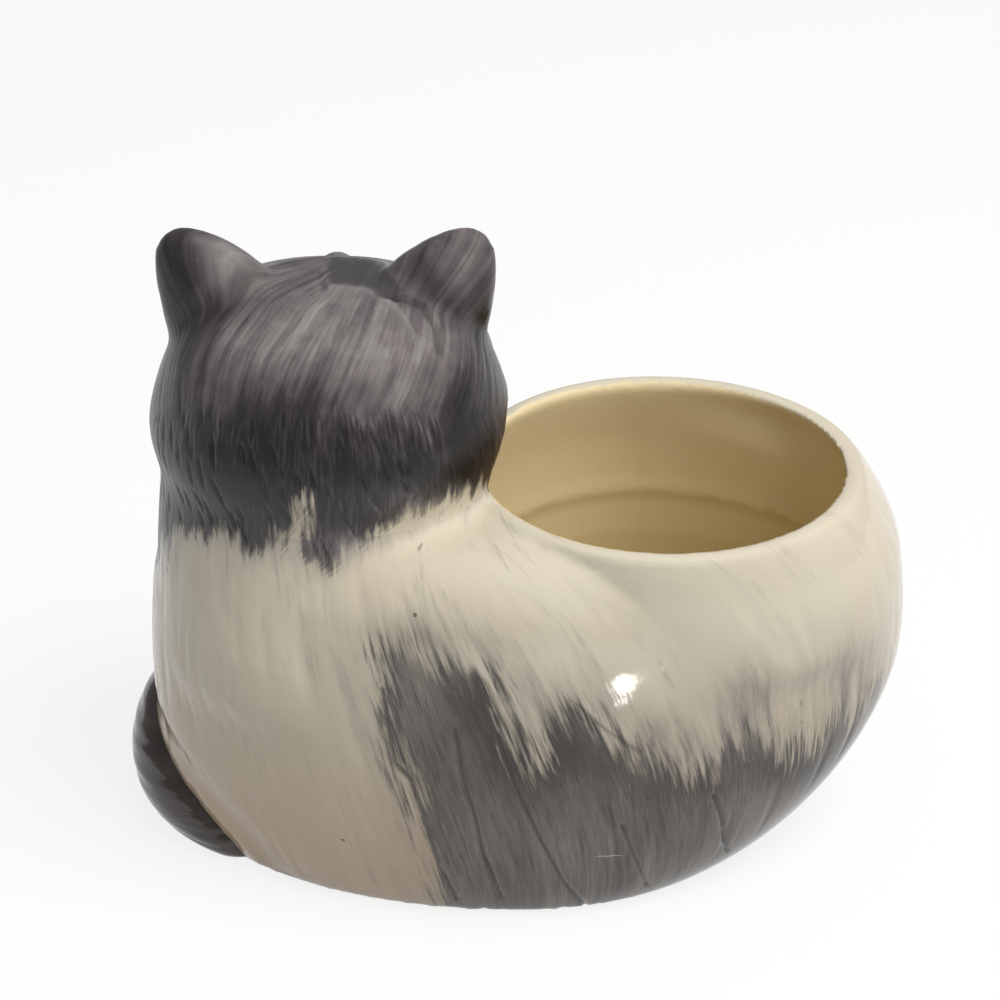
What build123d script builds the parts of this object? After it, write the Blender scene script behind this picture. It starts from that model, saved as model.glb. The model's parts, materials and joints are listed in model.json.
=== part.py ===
"""Long-haired cat planter in glazed earthenware, in millimetres.

The cat lies with its head turned to the front. A round bowl for a nursery pot opens in its back,
and its brushy tail sweeps round the foot. The figure is slip cast: a body with the bowl in it, a
hollow head, two ears, the tail and the paws, all luted on while the clay is damp and then fired.

Frame: +Z up, the cat's face looks along -Y, its head is at the +X end and its rump at the -X end.
The origin is on the floor under the middle of the figure's box.
"""

import math
import os

from build123d import *

# Trunk, measured from the upright axis through its widest part.
head_reach = 97
rump_reach = 100
back_reach = 62
front_reach = 60
rim_height = 102.5
wall = 5

# Foot: an unglazed ring round a shallow recess, with the hole that the slip was poured through.
foot_ring_width = 8
foot_recess = 2
pour_hole_radius = 9

# Bowl for the nursery pot.
mouth_radius = 45.5
lip_round = 2
rump_swell = 13.5
floor_height = 9

# Head: a hollow ball of fur that stands on the level top of the neck.
head_radius = 45.3
head_height = 51
head_setback = 4.2
head_hollow_radius = 32
neck_hole_radius = 20
scoop_rise = 17
scoop_lean = 8.5

# Face, measured from the middle of the head's seat.
cheek_radius = 26
cheek_spread = 15.5
cheek_reach = 16
cheek_height = 17
pad_radius = 9
pad_spread = 7.5
pad_reach = 43
pad_height = 14
chin_radius = 7.5
chin_reach = 41.5
chin_height = 5
nose_radius = 4
nose_reach = 50
nose_height = 20
bridge_half_width = 8
bridge_half_depth = 10
bridge_half_height = 14
bridge_reach = 38
bridge_height = 27
eye_radius = 8.5
eye_spread = 17
eye_reach = 34
eye_height = 28

# Ears, also measured from the middle of the head's seat.
ear_spread = 21.5
ear_height = 30
ear_setback = 3
ear_length = 32.5
ear_half_width = 17
ear_half_depth = 12
ear_cup_radius = 13
ear_cup_reach = 16
ear_cup_height = 15
ear_lean = 6

# Haunch, a swelling on the front of the trunk.
haunch_setback = 54
haunch_height = 40
haunch_half_length = 40
haunch_half_height = 33
haunch_half_depth = 15

# Tail round the foot of the trunk.
tail_half_height = 17.5
tail_half_width = 12
tail_sink = 3.5

# Paws that rest on the tail.
paw_half_width = 11
paw_half_length = 18
paw_half_height = 10
paw_spread = 12.5
paw_rise = 3
toe_radius = 4.4
hind_paw_gap = 13

overrun = 1
parts_folder = "parts"

# Each row of the trunk: height, then how far its outline reaches to the head, rump, back and front.
trunk_shares = (
    (0.00, 0.910, 0.650, 0.850, 0.850),
    (0.05, 0.935, 0.730, 0.895, 0.895),
    (0.14, 0.965, 0.825, 0.940, 0.940),
    (0.30, 0.995, 0.930, 0.985, 0.985),
    (0.53, 1.000, 1.000, 1.000, 1.000),
    (0.72, 0.975, 0.990, 0.975, 0.975),
    (0.84, 0.935, 0.940, 0.930, 0.890),
    (0.92, 0.870, 0.870, 0.860, 0.760),
    (0.97, 0.760, 0.780, 0.750, 0.580),
    (0.99, 0.630, 0.650, 0.630, 0.430),
)

# Each row of the bowl: height, then how far its outer face reaches to the rump and to each side,
# and how far its inner face reaches to the head, as a share of the mouth.
bowl_shares = (
    (0.05, 0.730, 0.780, 0.78),
    (0.14, 0.825, 0.850, 0.95),
    (0.30, 0.930, 0.905, 1.08),
    (0.50, 0.995, 0.925, 1.12),
    (0.65, 1.000, 0.920, 1.12),
    (0.80, 0.975, 0.900, 1.10),
    (0.92, 0.925, 0.860, 1.05),
)
collar_foot_share = 0.65

# Each row of the neck: height, then how far it reaches to the head end, and to each side.
neck_shares = (
    (0.53, 0.985, 0.860),
    (0.72, 0.965, 0.820),
    (0.85, 0.955, 0.760),
)

# Each row of the hollow in the chest: height, then how far it reaches, before the wall is left.
chest_shares = (
    (0.05, 0.930, 0.740),
    (0.30, 0.985, 0.800),
    (0.72, 0.965, 0.780),
    (0.92, 0.840, 0.640),
)

# The head's outline: height and radius.
head_shares = (
    (0.00, 0.955),
    (0.22, 1.000),
    (0.44, 0.960),
    (0.66, 0.860),
    (0.84, 0.700),
    (0.95, 0.460),
    (1.00, 0.000),
)

# Each section of the ear: height, how far its middle leans outwards, its width and its depth.
ear_shares = (
    (0.00, 0.00, 1.00, 1.00),
    (0.35, 0.17, 0.97, 0.90),
    (0.62, 0.34, 0.86, 0.72),
    (0.82, 0.55, 0.63, 0.50),
    (0.94, 0.70, 0.36, 0.29),
)
ear_tip_lean_share = 0.78

# The tail: how far round the foot, in degrees from the head end, and its thickness.
tail_shares = (
    (-172, 0.50),
    (-155, 0.72),
    (-135, 0.84),
    (-112, 0.88),
    (-90, 0.90),
    (-65, 0.95),
    (-40, 1.00),
    (-16, 0.96),
    (6, 0.80),
    (22, 0.60),
    (33, 0.40),
    (40, 0.16),
)

# Where the toes lie across a paw, as shares of a toe's radius.
toe_shares = (-1.5, -0.5, 0.5, 1.5)

head_middle = head_reach - head_radius - head_setback
rim_radius = mouth_radius + wall
bowl_middle = rump_swell - rump_reach + rim_radius
haunch_middle = haunch_setback - rump_reach


def egg(height, middle, to_head, to_rump, to_back, to_front):
    """Level outline of four quarter ellipses, each with its own reach, that meet without a corner."""
    with BuildSketch(Plane.XY.offset(height)) as outline:
        with BuildLine():
            EllipticalCenterArc((middle, 0), to_head, to_back, 0)
            EllipticalCenterArc((middle, 0), to_rump, to_back, 90)
            EllipticalCenterArc((middle, 0), to_rump, to_front, 180)
            EllipticalCenterArc((middle, 0), to_head, to_front, 270)
        make_face()
    return outline.sketch


def disc(height, middle, radius):
    return egg(height, middle, radius, radius, radius, radius)


def narrowing(offset, reach):
    """How much of its full breadth an ellipse keeps at that offset along its length."""
    return math.sqrt(1 - (offset / reach) ** 2)


def swelling(middle, radii):
    """A ball pressed to three radii and set in place."""
    with BuildPart() as ball:
        Sphere(1)
        scale(by=radii)
    return ball.part.moved(Location(middle))


def dome(rows, height, radius):
    """Solid turned from rows of height and radius shares, from its seat to a rounded crown."""
    points = [(radius * out, height * up) for up, out in rows]
    with BuildPart() as turned:
        with BuildSketch(Plane.XZ):
            with BuildLine():
                Spline(points, tangents=((0, 1), (-1, 0)))
                Polyline(points[-1], (0, 0), points[0])
            make_face()
        revolve(axis=Axis.Z)
    return turned.part


def trunk_outline(row, inset=0):
    up, to_head, to_rump, to_back, to_front = row
    return egg(
        rim_height * up,
        0,
        head_reach * to_head - inset,
        rump_reach * to_rump - inset,
        back_reach * to_back - inset,
        front_reach * to_front - inset,
    )


def foot_point(degrees, stand_off):
    """A point that far outside the foot's outline, and the direction outwards there."""
    to_head, to_rump, to_back, to_front = trunk_shares[0][1:]
    angle = math.radians(degrees)
    along = head_reach * to_head if math.cos(angle) > 0 else rump_reach * to_rump
    across = back_reach * to_back if math.sin(angle) > 0 else front_reach * to_front
    outward = Vector(math.cos(angle) / along, math.sin(angle) / across).normalized()
    return Vector(along * math.cos(angle), across * math.sin(angle)) + outward * stand_off, outward


# Outer form of the body: the trunk, the collar round the mouth, and the neck under the head.
with BuildPart() as trunk:
    loft([trunk_outline(row) for row in trunk_shares])
    haunch_wall = front_reach * narrowing(haunch_middle, rump_reach)
    add(
        swelling(
            (haunch_middle, wall - haunch_wall, haunch_height),
            (haunch_half_length, haunch_half_depth, haunch_half_height),
        )
    )

with BuildPart() as collar:
    sections = [
        egg(
            rim_height * up,
            bowl_middle,
            rim_radius,
            rump_reach * to_rump + bowl_middle,
            back_reach * to_side,
            front_reach * to_side,
        )
        for up, to_rump, to_side, to_head in bowl_shares
        if up >= collar_foot_share
    ]
    loft(sections + [disc(rim_height, bowl_middle, rim_radius)])
    fillet(collar.edges().group_by(Axis.Z)[-1], lip_round)

with BuildPart() as neck:
    seat_radius = head_radius * head_shares[0][1]
    sections = [
        egg(
            rim_height * up,
            head_middle,
            head_reach * to_head - head_middle,
            seat_radius,
            back_reach * to_side,
            front_reach * to_side,
        )
        for up, to_head, to_side in neck_shares
    ]
    loft(sections + [disc(rim_height, head_middle, seat_radius)])

with BuildPart() as outside:
    add(trunk.part)
    add(collar.part)
    add(neck.part)

# Hollows of the body.
with BuildPart() as bowl:
    sections = [
        egg(
            max(rim_height * up, floor_height),
            bowl_middle,
            mouth_radius * to_head,
            rump_reach * to_rump + bowl_middle - wall,
            back_reach * to_side - wall,
            front_reach * to_side - wall,
        )
        for up, to_rump, to_side, to_head in bowl_shares
    ]
    loft(sections + [disc(rim_height, bowl_middle, mouth_radius)])

with BuildPart() as lip_cut:
    with BuildSketch(Plane.XZ):
        with BuildLine():
            rounding = CenterArc((mouth_radius + lip_round, rim_height - lip_round), lip_round, 90, 90)
            Polyline(
                rounding @ 1,
                (0, rim_height - lip_round),
                (0, rim_height + overrun),
                (mouth_radius + lip_round, rim_height + overrun),
                rounding @ 0,
            )
        make_face()
    revolve(axis=Axis.Z)

with BuildPart() as chest:
    partition = bowl_middle + mouth_radius * max(row[3] for row in bowl_shares) + wall
    sections = [
        egg(
            max(rim_height * up, floor_height),
            head_middle,
            head_reach * to_head - wall - head_middle,
            head_middle - partition,
            back_reach * to_side - wall,
            front_reach * to_side - wall,
        )
        for up, to_head, to_side in chest_shares
    ]
    loft(sections)

with BuildPart() as body:
    add(outside.part)
    add(bowl.part, mode=Mode.SUBTRACT)
    add(lip_cut.part.moved(Location((bowl_middle, 0, 0))), mode=Mode.SUBTRACT)
    add(chest.part, mode=Mode.SUBTRACT)
    with BuildSketch(Plane.XY.offset(rim_height + overrun)):
        with Locations((head_middle, 0)):
            Circle(neck_hole_radius)
    extrude(amount=-(rim_height * (1 - chest_shares[-1][0]) + 2 * overrun), mode=Mode.SUBTRACT)
    with BuildSketch(Plane.XY.offset(-overrun)):
        with Locations((head_middle, 0)):
            Circle(pour_hole_radius)
    extrude(amount=floor_height + 2 * overrun, mode=Mode.SUBTRACT)
    add(trunk_outline(trunk_shares[0], foot_ring_width))
    extrude(amount=foot_recess, mode=Mode.SUBTRACT)

# Head, made round the middle of its seat and then set on the neck.
head_place = Location((head_middle, 0, rim_height))

with BuildPart() as ball_of_fur:
    add(dome(head_shares, head_height, head_radius))

with BuildPart() as face:
    with Locations((0, -chin_reach, chin_height)):
        Sphere(chin_radius)
    with Locations((0, -nose_reach, nose_height)):
        Sphere(nose_radius)
    for side in (1, -1):
        with Locations((side * cheek_spread, -cheek_reach, cheek_height)):
            Sphere(cheek_radius)
        with Locations((side * pad_spread, -pad_reach, pad_height)):
            Sphere(pad_radius)
        with Locations((side * eye_spread, -eye_reach, eye_height)):
            Sphere(eye_radius)
    add(
        swelling(
            (0, -bridge_reach, bridge_height),
            (bridge_half_width, bridge_half_depth, bridge_half_height),
        )
    )
    split(bisect_by=Plane.XY, keep=Keep.TOP)

with BuildPart() as scoop:
    with Locations((bowl_middle - head_middle, 0, 0)):
        Cone(
            mouth_radius + lip_round,
            mouth_radius + lip_round - scoop_lean * head_height / scoop_rise,
            head_height,
            align=(Align.CENTER, Align.CENTER, Align.MIN),
        )

with BuildPart() as head:
    add(ball_of_fur.part)
    add(face.part)
    add(scoop.part, mode=Mode.SUBTRACT)
    add(dome(head_shares, head_height - wall, head_hollow_radius), mode=Mode.SUBTRACT)


def make_ear(side):
    """One ear, cupped in front and cut to the head that it stands on."""
    with BuildPart() as ear:
        sections = []
        for up, lean, breadth, depth in ear_shares:
            with BuildSketch(Plane.XY.offset(ear_length * up)) as section:
                with Locations((side * ear_half_width * lean, 0)):
                    Ellipse(ear_half_width * breadth, ear_half_depth * depth)
            sections.append(section.sketch)
        sections.append(Vertex(side * ear_half_width * ear_tip_lean_share, 0, ear_length))
        loft(sections)
        with Locations((side * ear_lean, -ear_cup_reach, ear_cup_height)):
            Sphere(ear_cup_radius, mode=Mode.SUBTRACT)
    with BuildPart() as trimmed:
        add(ear.part.moved(Location((side * ear_spread, -ear_setback, ear_height))))
        add(ball_of_fur.part, mode=Mode.SUBTRACT)
    return trimmed.part


left_ear = make_ear(1)
right_ear = make_ear(-1)

# Tail, swept round the foot and cut to the trunk that it lies against.
with BuildPart() as tail:
    sections = []
    for degrees, thickness in tail_shares:
        middle, outward = foot_point(degrees, tail_half_width * thickness - tail_sink)
        middle += Vector(0, 0, tail_half_height * thickness)
        with BuildSketch(Plane(middle, x_dir=outward, z_dir=outward.cross(Vector(0, 0, 1)))) as section:
            Ellipse(tail_half_width * thickness, tail_half_height * thickness)
        sections.append(section.sketch)
    loft(sections)
    add(outside.part, mode=Mode.SUBTRACT)


def make_paw(middle_x):
    """A paw that comes out of the front of the trunk and rests its toes on the tail."""
    reach = front_reach * narrowing(middle_x, head_reach)
    height = 2 * tail_half_height + paw_rise
    with BuildPart() as paw:
        add(
            swelling((middle_x, -reach, height), (paw_half_width, paw_half_length, paw_half_height))
        )
        for share in toe_shares:
            across = share * toe_radius
            forward = paw_half_length * narrowing(across, paw_half_width) - toe_radius
            with Locations((middle_x + across, -reach - forward, height - toe_radius / 2)):
                Sphere(toe_radius)
        add(outside.part, mode=Mode.SUBTRACT)
        add(tail.part, mode=Mode.SUBTRACT)
    return paw.part


pieces = {
    "body": body.part,
    "head": head.part.moved(head_place),
    "left_ear": left_ear.moved(head_place),
    "right_ear": right_ear.moved(head_place),
    "tail": tail.part,
    "left_forepaw": make_paw(head_middle + paw_spread),
    "right_forepaw": make_paw(head_middle - paw_spread),
    "hind_paw": make_paw(head_middle - paw_spread - 2 * paw_half_width - hind_paw_gap),
}

box = Compound(list(pieces.values())).bounding_box()
to_origin = Location((-box.center().X, -box.center().Y, 0))
os.makedirs(parts_folder, exist_ok=True)
for name, piece in pieces.items():
    placed = piece.moved(to_origin)
    placed.label = name
    print(name, round(placed.volume), placed.is_valid, len(placed.faces()), len(placed.solids()))
    export_step(placed, os.path.join(parts_folder, name + ".step"))
print("box", box.size, "moved by", to_origin.position)
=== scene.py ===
"""A long-haired cat planter in hand-painted, glazed earthenware.

The body, head and ears are one smooth casting, cut apart where the clay was luted. Tail and paws
are laid on. Fur is carved into the clay in short strokes, and painted under a clear glaze.
Lengths are in millimetres until they reach Blender, which works in metres.
"""

import json
import math

import bpy
import numpy as np
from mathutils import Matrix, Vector
from mathutils.bvhtree import BVHTree

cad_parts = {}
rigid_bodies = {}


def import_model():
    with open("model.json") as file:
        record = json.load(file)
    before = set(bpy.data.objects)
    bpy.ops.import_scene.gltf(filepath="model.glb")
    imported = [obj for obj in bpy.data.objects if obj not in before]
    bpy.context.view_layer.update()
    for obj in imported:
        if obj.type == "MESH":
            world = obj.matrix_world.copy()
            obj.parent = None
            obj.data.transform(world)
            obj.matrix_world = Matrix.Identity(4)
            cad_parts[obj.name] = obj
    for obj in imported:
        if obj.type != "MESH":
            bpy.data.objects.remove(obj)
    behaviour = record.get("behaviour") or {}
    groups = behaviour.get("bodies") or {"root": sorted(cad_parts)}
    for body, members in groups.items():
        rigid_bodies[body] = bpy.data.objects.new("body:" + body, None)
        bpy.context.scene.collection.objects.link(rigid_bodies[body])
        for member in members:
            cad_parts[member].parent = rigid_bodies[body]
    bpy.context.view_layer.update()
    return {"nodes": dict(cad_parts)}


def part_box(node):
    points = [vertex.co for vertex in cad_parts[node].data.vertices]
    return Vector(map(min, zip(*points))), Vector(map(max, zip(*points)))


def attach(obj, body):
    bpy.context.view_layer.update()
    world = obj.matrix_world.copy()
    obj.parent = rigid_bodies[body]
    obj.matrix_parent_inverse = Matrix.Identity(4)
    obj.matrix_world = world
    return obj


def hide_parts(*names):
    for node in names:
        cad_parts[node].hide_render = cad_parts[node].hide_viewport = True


MM = 0.001

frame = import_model()

# The photograph's camera: how high it aims on the trunk's axis, and the pixel where that lies.
PICTURE_PX = 1000
AIM_PX = (519, 555)
AIM_HEIGHT = 75
CAMERA_DISTANCE = 650
CAMERA_RISE = math.radians(30)
SENSOR = 36
LENS = 90.3
PICTURE_SCALE = LENS / SENSOR * PICTURE_PX / CAMERA_DISTANCE

# The figure's own measures.
HEAD_TO_TRUNK = 47.5
MOUTH_TO_TRUNK = 36
MOUTH_RADIUS = 45.5
WALL = 5
TRUNK_HALF_LENGTH = 98.5
TRUNK_HALF_DEPTH = 61
TRUNK_GIRTH_RADIUS = 80
HEAD_CORE_RISE = 20
HEAD_FOLD = 25
COLLAR_FOOT = 66.6
NECK_FOOT = 54.3
BOWL_REACH = 59
LIP_BAND = 1.6
FOOT_BAND = 1.2
TOE_PITCH = 4.4

# How much of its depth the bowl gives to a thin wall, and how far the crown is pressed down.
WALL_GAIN = 0.13
CROWN_FLATTENING = 1.8

# The bead of clay beside what is laid on, and the valley past it: height, place and half width.
BEAD = (0.9, 1.5, 3.4)
VALLEY = (-0.3, 9, 5)

# Rings left in the bowl: height above the floor, half width and how far they stand in.
BOWL_RINGS = ((68, 4, 0.3), (54, 3, 0.15))

# Rounds of a wet brush over the clay. The tail and paws have it by themselves.
ALL_OVER_ROUNDS = 6
JOIN_ROUNDS = 40
LEDGE_ROUNDS = 160
BESIDE_ROUNDS = 25
CARVED_ROUNDS = 12
TAIL_ROUNDS = 12
PAW_ROUNDS = 4

# How far the fur on the trunk leans towards the rump as it falls, and how that grows up the trunk.
LEAN = 0.10
LEAN_GROWTH = 0.11

# Where the fur of the head is combed away from, seen from the middle of the head.
FUR_POLE = Vector((-0.35, -0.7, 0.62)).normalized()

# Kinds of stroke: the plot of surface that each one has and its size, both as width and length,
# how many plots have one, where its draws start, how far it leans, and how that varies.
SOFT_FUR = {"cell": (9, 22), "size": (5, 24), "chance": 0.7, "salt": 3}
SHORT_FUR = {"cell": (6, 16), "size": (3.4, 14), "chance": 0.5, "salt": 11}
SHARP_FUR = {"cell": (8, 20), "size": (2.6, 20), "chance": 0.5, "salt": 19, "spread": 0.2}
NAPE_CUTS = {
    "cell": (3.6, 7.5), "size": (1.35, 8.5), "chance": 0.6, "salt": 29, "lean": 0.3, "spread": 0.35,
}
COMBED_HAIR = {"cell": (5, 24), "size": (3.6, 30), "chance": 0.6, "salt": 41}
TAIL_LOCKS = {"cell": (5, 30), "size": (3.4, 34), "chance": 0.7, "salt": 53, "spread": 0.16}
TAIL_HAIRS = {"cell": (3.4, 20), "size": (1.9, 22), "chance": 0.6, "salt": 61, "spread": 0.2}
TAIL_GIRTH = 300

# How deep each kind of line is cut, or how far a ridge stands out.
FUR_DEPTH = 0.30
SHARP_DEPTH = 0.35
CUT_DEPTH = 0.7
COMBED_DEPTH = 0.15
GROOVE_DEPTH = 0.8
RIDGE_RISE = 0.7
LOCK_DEPTH = 0.28
TAIL_HAIR_DEPTH = 0.15
TOE_DEPTH = 0.9

# Mesh grain, and where the casting is cut into its luted pieces.
VOXEL = 1.2
FINE_VOXEL = 0.9
FINE_REACH = 4
HOLLOW_THINNING = 0.76
LUTING_RISE = 1.5
LAP = 0.05
EAR_CUT_TILT = math.radians(27)
EAR_CUT_RISE = 45
EAR_SPREAD = 21.5
SINK = 1.4

head_low, head_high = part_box("head")
HEAD_RADIUS = (head_high.x - head_low.x) / 2 / MM
RIM_HEIGHT = head_low.z / MM
FIGURE_X = (head_high.x + head_low.x) / 2 / MM - HEAD_TO_TRUNK
FIGURE_Y = head_high.y / MM - HEAD_RADIUS
FIGURE_SHIFT = np.array((FIGURE_X, FIGURE_Y, 0))
PAWS = ("left_forepaw", "right_forepaw", "hind_paw")
LAID_ON = ("tail", *PAWS)

scene = bpy.context.scene
scene.view_settings.view_transform = "Standard"


def camera_axes():
    """The camera's right, up and backward directions."""
    right = Vector((-1, 0, 0))
    up = Vector((0, -math.sin(CAMERA_RISE), math.cos(CAMERA_RISE)))
    back = Vector((0, math.cos(CAMERA_RISE), math.sin(CAMERA_RISE)))
    return right, up, back


def make_camera():
    data = bpy.data.cameras.new("camera")
    data.lens = LENS
    data.sensor_width = SENSOR
    data.shift_x = 0.5 - AIM_PX[0] / PICTURE_PX
    data.shift_y = AIM_PX[1] / PICTURE_PX - 0.5
    camera = bpy.data.objects.new("camera", data)
    scene.collection.objects.link(camera)
    back = camera_axes()[2]
    aim = Vector((FIGURE_X, FIGURE_Y, AIM_HEIGHT)) * MM
    camera.location = aim + back * CAMERA_DISTANCE * MM
    camera.rotation_euler = (-back).to_track_quat("-Z", "Y").to_euler()
    scene.camera = camera
    return camera


camera = make_camera()


def in_picture(points):
    """Where points of the figure lie in the photograph.

    The hidden front is taken as its mirror: on the trunk all of it, and on the head what lies
    further forward than the fold.
    """
    fold = HEAD_FOLD * step(RIM_HEIGHT - 4, RIM_HEIGHT + 8, points[:, 2])
    points = np.stack((points[:, 0], np.abs(points[:, 1] + fold) - fold, points[:, 2]), 1)
    right, up, back = (np.array(axis) for axis in camera_axes())
    offset = points - np.array((0, 0, AIM_HEIGHT))
    scale = LENS / SENSOR * PICTURE_PX / (CAMERA_DISTANCE - offset @ back)
    return np.stack((AIM_PX[0] + offset @ right * scale, AIM_PX[1] - offset @ up * scale), 1)


# Objects and meshes


def only(piece):
    """Select this one object, and make it the active one."""
    for other in bpy.context.view_layer.objects:
        other.select_set(False)
    piece.select_set(True)
    bpy.context.view_layer.objects.active = piece


def clay_copy(name, nodes):
    """A copy of CAD nodes as one mesh whose loose triangles are merged."""
    copies = []
    for node in nodes:
        twin = bpy.data.objects.new(name, frame["nodes"][node].data.copy())
        scene.collection.objects.link(twin)
        copies.append(twin)
    only(copies[0])
    for twin in copies:
        twin.select_set(True)
    if len(copies) > 1:
        bpy.ops.object.join()
    piece = copies[0]
    piece.name = name
    piece.data.materials.clear()
    bpy.ops.object.mode_set(mode="EDIT")
    bpy.ops.mesh.select_all(action="SELECT")
    bpy.ops.mesh.remove_doubles(threshold=0.001 * MM)
    bpy.ops.object.mode_set(mode="OBJECT")
    return piece


def finish_modifier(piece, kind, **settings):
    """Add a modifier with these settings and apply it."""
    only(piece)
    modifier = piece.modifiers.new(kind.lower(), kind)
    for key, value in settings.items():
        setattr(modifier, key, value)
    bpy.ops.object.modifier_apply(modifier=modifier.name)


def wet_brush(piece, rounds, group=""):
    """Smooth the clay, all over or as far as a vertex group weighs it."""
    finish_modifier(piece, "SMOOTH", factor=0.5, iterations=rounds, vertex_group=group)


def rows_of(data, name, width=3):
    """One vector for each vertex, as rows of an array."""
    values = np.zeros(len(data) * width, np.float32)
    data.foreach_get(name, values)
    return values.reshape(-1, width).astype(float)


def points_of(piece):
    """The piece's vertices in millimetres from the trunk's axis on the floor."""
    return rows_of(piece.data.vertices, "co") / MM - FIGURE_SHIFT


def move_points(piece, points):
    piece.data.vertices.foreach_set("co", ((points + FIGURE_SHIFT) * MM).ravel())
    piece.data.update()


def normals_of(piece):
    return rows_of(piece.data.vertices, "normal")


def keep_value(piece, name, values):
    """Store one number or one vector for each vertex."""
    kind = "FLOAT_VECTOR" if values.ndim == 2 else "FLOAT"
    key = "vector" if values.ndim == 2 else "value"
    layer = piece.data.attributes.get(name) or piece.data.attributes.new(name, kind, "POINT")
    layer.data.foreach_set(key, np.ascontiguousarray(values, dtype=np.float32).ravel())


def kept_value(piece, name):
    return rows_of(piece.data.attributes[name].data, "value", 1)[:, 0]


def weigh(piece, name, weights, steps=10):
    """A vertex group from an array of weights, in a few even steps."""
    group = piece.vertex_groups.new(name=name)
    levels = np.round(np.clip(weights, 0, 1) * steps).astype(int)
    for level in range(1, steps + 1):
        chosen = np.nonzero(levels == level)[0]
        if len(chosen):
            group.add(chosen.tolist(), level / steps, "REPLACE")


def subdivide_where(piece, chosen):
    """Halve the edges of the faces whose every vertex is chosen."""
    mesh = piece.data
    starts = np.zeros(len(mesh.polygons), int)
    counts = np.zeros(len(mesh.polygons), int)
    corners = np.zeros(len(mesh.loops), int)
    mesh.polygons.foreach_get("loop_start", starts)
    mesh.polygons.foreach_get("loop_total", counts)
    mesh.loops.foreach_get("vertex_index", corners)
    hits = np.add.reduceat(chosen[corners].astype(int), starts)
    only(piece)
    bpy.context.tool_settings.mesh_select_mode = (False, False, True)
    bpy.ops.object.mode_set(mode="EDIT")
    bpy.ops.mesh.select_all(action="DESELECT")
    bpy.ops.object.mode_set(mode="OBJECT")
    mesh.polygons.foreach_set("select", hits == counts)
    bpy.ops.object.mode_set(mode="EDIT")
    bpy.ops.mesh.subdivide(number_cuts=1)
    bpy.ops.object.mode_set(mode="OBJECT")


def flood(piece, start, blocked):
    """The vertices that a walk along edges reaches from a start without crossing a blocked one."""
    pairs = np.zeros(len(piece.data.edges) * 2, np.int32)
    piece.data.edges.foreach_get("vertices", pairs)
    first, second = pairs.reshape(-1, 2).T
    reached = np.zeros(len(blocked), bool)
    reached[start] = True
    growing = True
    while growing:
        onward = second[reached[first] & ~reached[second]]
        backward = first[reached[second] & ~reached[first]]
        ahead = np.concatenate((onward, backward))
        ahead = ahead[~blocked[ahead]]
        reached[ahead] = True
        growing = len(ahead) > 0
    return reached


def surface_tree(piece):
    """A search tree over the piece's faces, in Blender's metres."""
    return BVHTree.FromObject(piece, bpy.context.evaluated_depsgraph_get())


def nearest_on(tree, points):
    """Distance in millimetres to a surface, and its outward direction there."""
    distances = np.zeros(len(points))
    directions = np.zeros((len(points), 3))
    for index, point in enumerate((points + FIGURE_SHIFT) * MM):
        found = tree.find_nearest(point)
        distances[index] = found[3] / MM
        directions[index] = found[1]
    return distances, directions


# Fields over the surface


def step(low, high, values):
    """Smooth rise from 0 at low to 1 at high."""
    share = np.clip((values - low) / (high - low), 0, 1)
    return share * share * (3 - 2 * share)


def draw(cells, salt):
    """A steady draw from 0 to 1 for each pair of whole numbers."""
    wave = np.sin(cells[0] * 127.1 + cells[1] * 311.7 + salt * 74.7) * 43758.5453
    return wave - np.floor(wave)


def strokes(across, along, around, cell, size, chance, salt, lean=0, spread=0.3):
    """How deep, from 0 to 1, scattered slim strokes cut at each point.

    across and along are lengths in millimetres. around is how far across goes before it closes on
    itself. cell and size are (width, length) of a stroke's plot of surface and of the stroke.
    """
    columns = max(3, round(around / cell[0]))
    width = around / columns
    depth = np.zeros(len(across))
    plot = (np.floor(across / width), np.floor(along / cell[1]))
    for right in (-1, 0, 1):
        for up in (-1, 0, 1):
            here = (np.mod(plot[0] + right, columns), plot[1] + up)
            middle_across = (plot[0] + right + 0.5 + 0.8 * (draw(here, salt) - 0.5)) * width
            middle_along = (plot[1] + up + 0.5 + 0.8 * (draw(here, salt + 1) - 0.5)) * cell[1]
            half = size[1] * (0.35 + 0.3 * draw(here, salt + 2))
            slope = lean + spread * (draw(here, salt + 3) - 0.5)
            shown = draw(here, salt + 4) < chance
            length = np.hypot(1, slope)
            sideways = ((across - middle_across) - slope * (along - middle_along)) / length
            lengthways = ((along - middle_along) + slope * (across - middle_across)) / length
            body = np.clip(1 - (lengthways / half) ** 2, 0, 1)
            breadth = size[0] * (0.35 + 0.65 * body) / 2
            groove = body * np.exp(-2 * (sideways / breadth) ** 2)
            depth = np.maximum(depth, np.where(shown, groove, 0))
    return depth


def from_curve(seen, curve, scale=PICTURE_SCALE):
    """Distance in millimetres, at the figure's scale, from a line drawn in the picture."""
    nearest = np.full(len(seen), np.inf)
    for start, end in zip(curve, curve[1:]):
        start, run = np.array(start, float), np.array(end, float) - np.array(start, float)
        share = np.clip((seen - start) @ run / (run @ run), 0, 1)
        nearest = np.minimum(nearest, np.linalg.norm(seen - start - share[:, None] * run, axis=1))
    return nearest / scale


def from_curves(seen, curves):
    """Distance in millimetres from the nearest of several lines drawn in the picture."""
    return np.minimum.reduce([from_curve(seen, curve) for curve in curves])


def from_outline(seen, outline, scale=PICTURE_SCALE):
    """Distance in millimetres from a closed outline in the picture, positive inside it."""
    closed = list(outline) + [outline[0]]
    inside = np.zeros(len(seen), bool)
    for (x0, y0), (x1, y1) in zip(closed, closed[1:]):
        crosses = (y0 > seen[:, 1]) != (y1 > seen[:, 1])
        if y0 != y1:
            inside ^= crosses & (seen[:, 0] < x0 + (seen[:, 1] - y0) * (x1 - x0) / (y1 - y0))
    return from_curve(seen, closed, scale) * np.where(inside, 1, -1)


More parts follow.
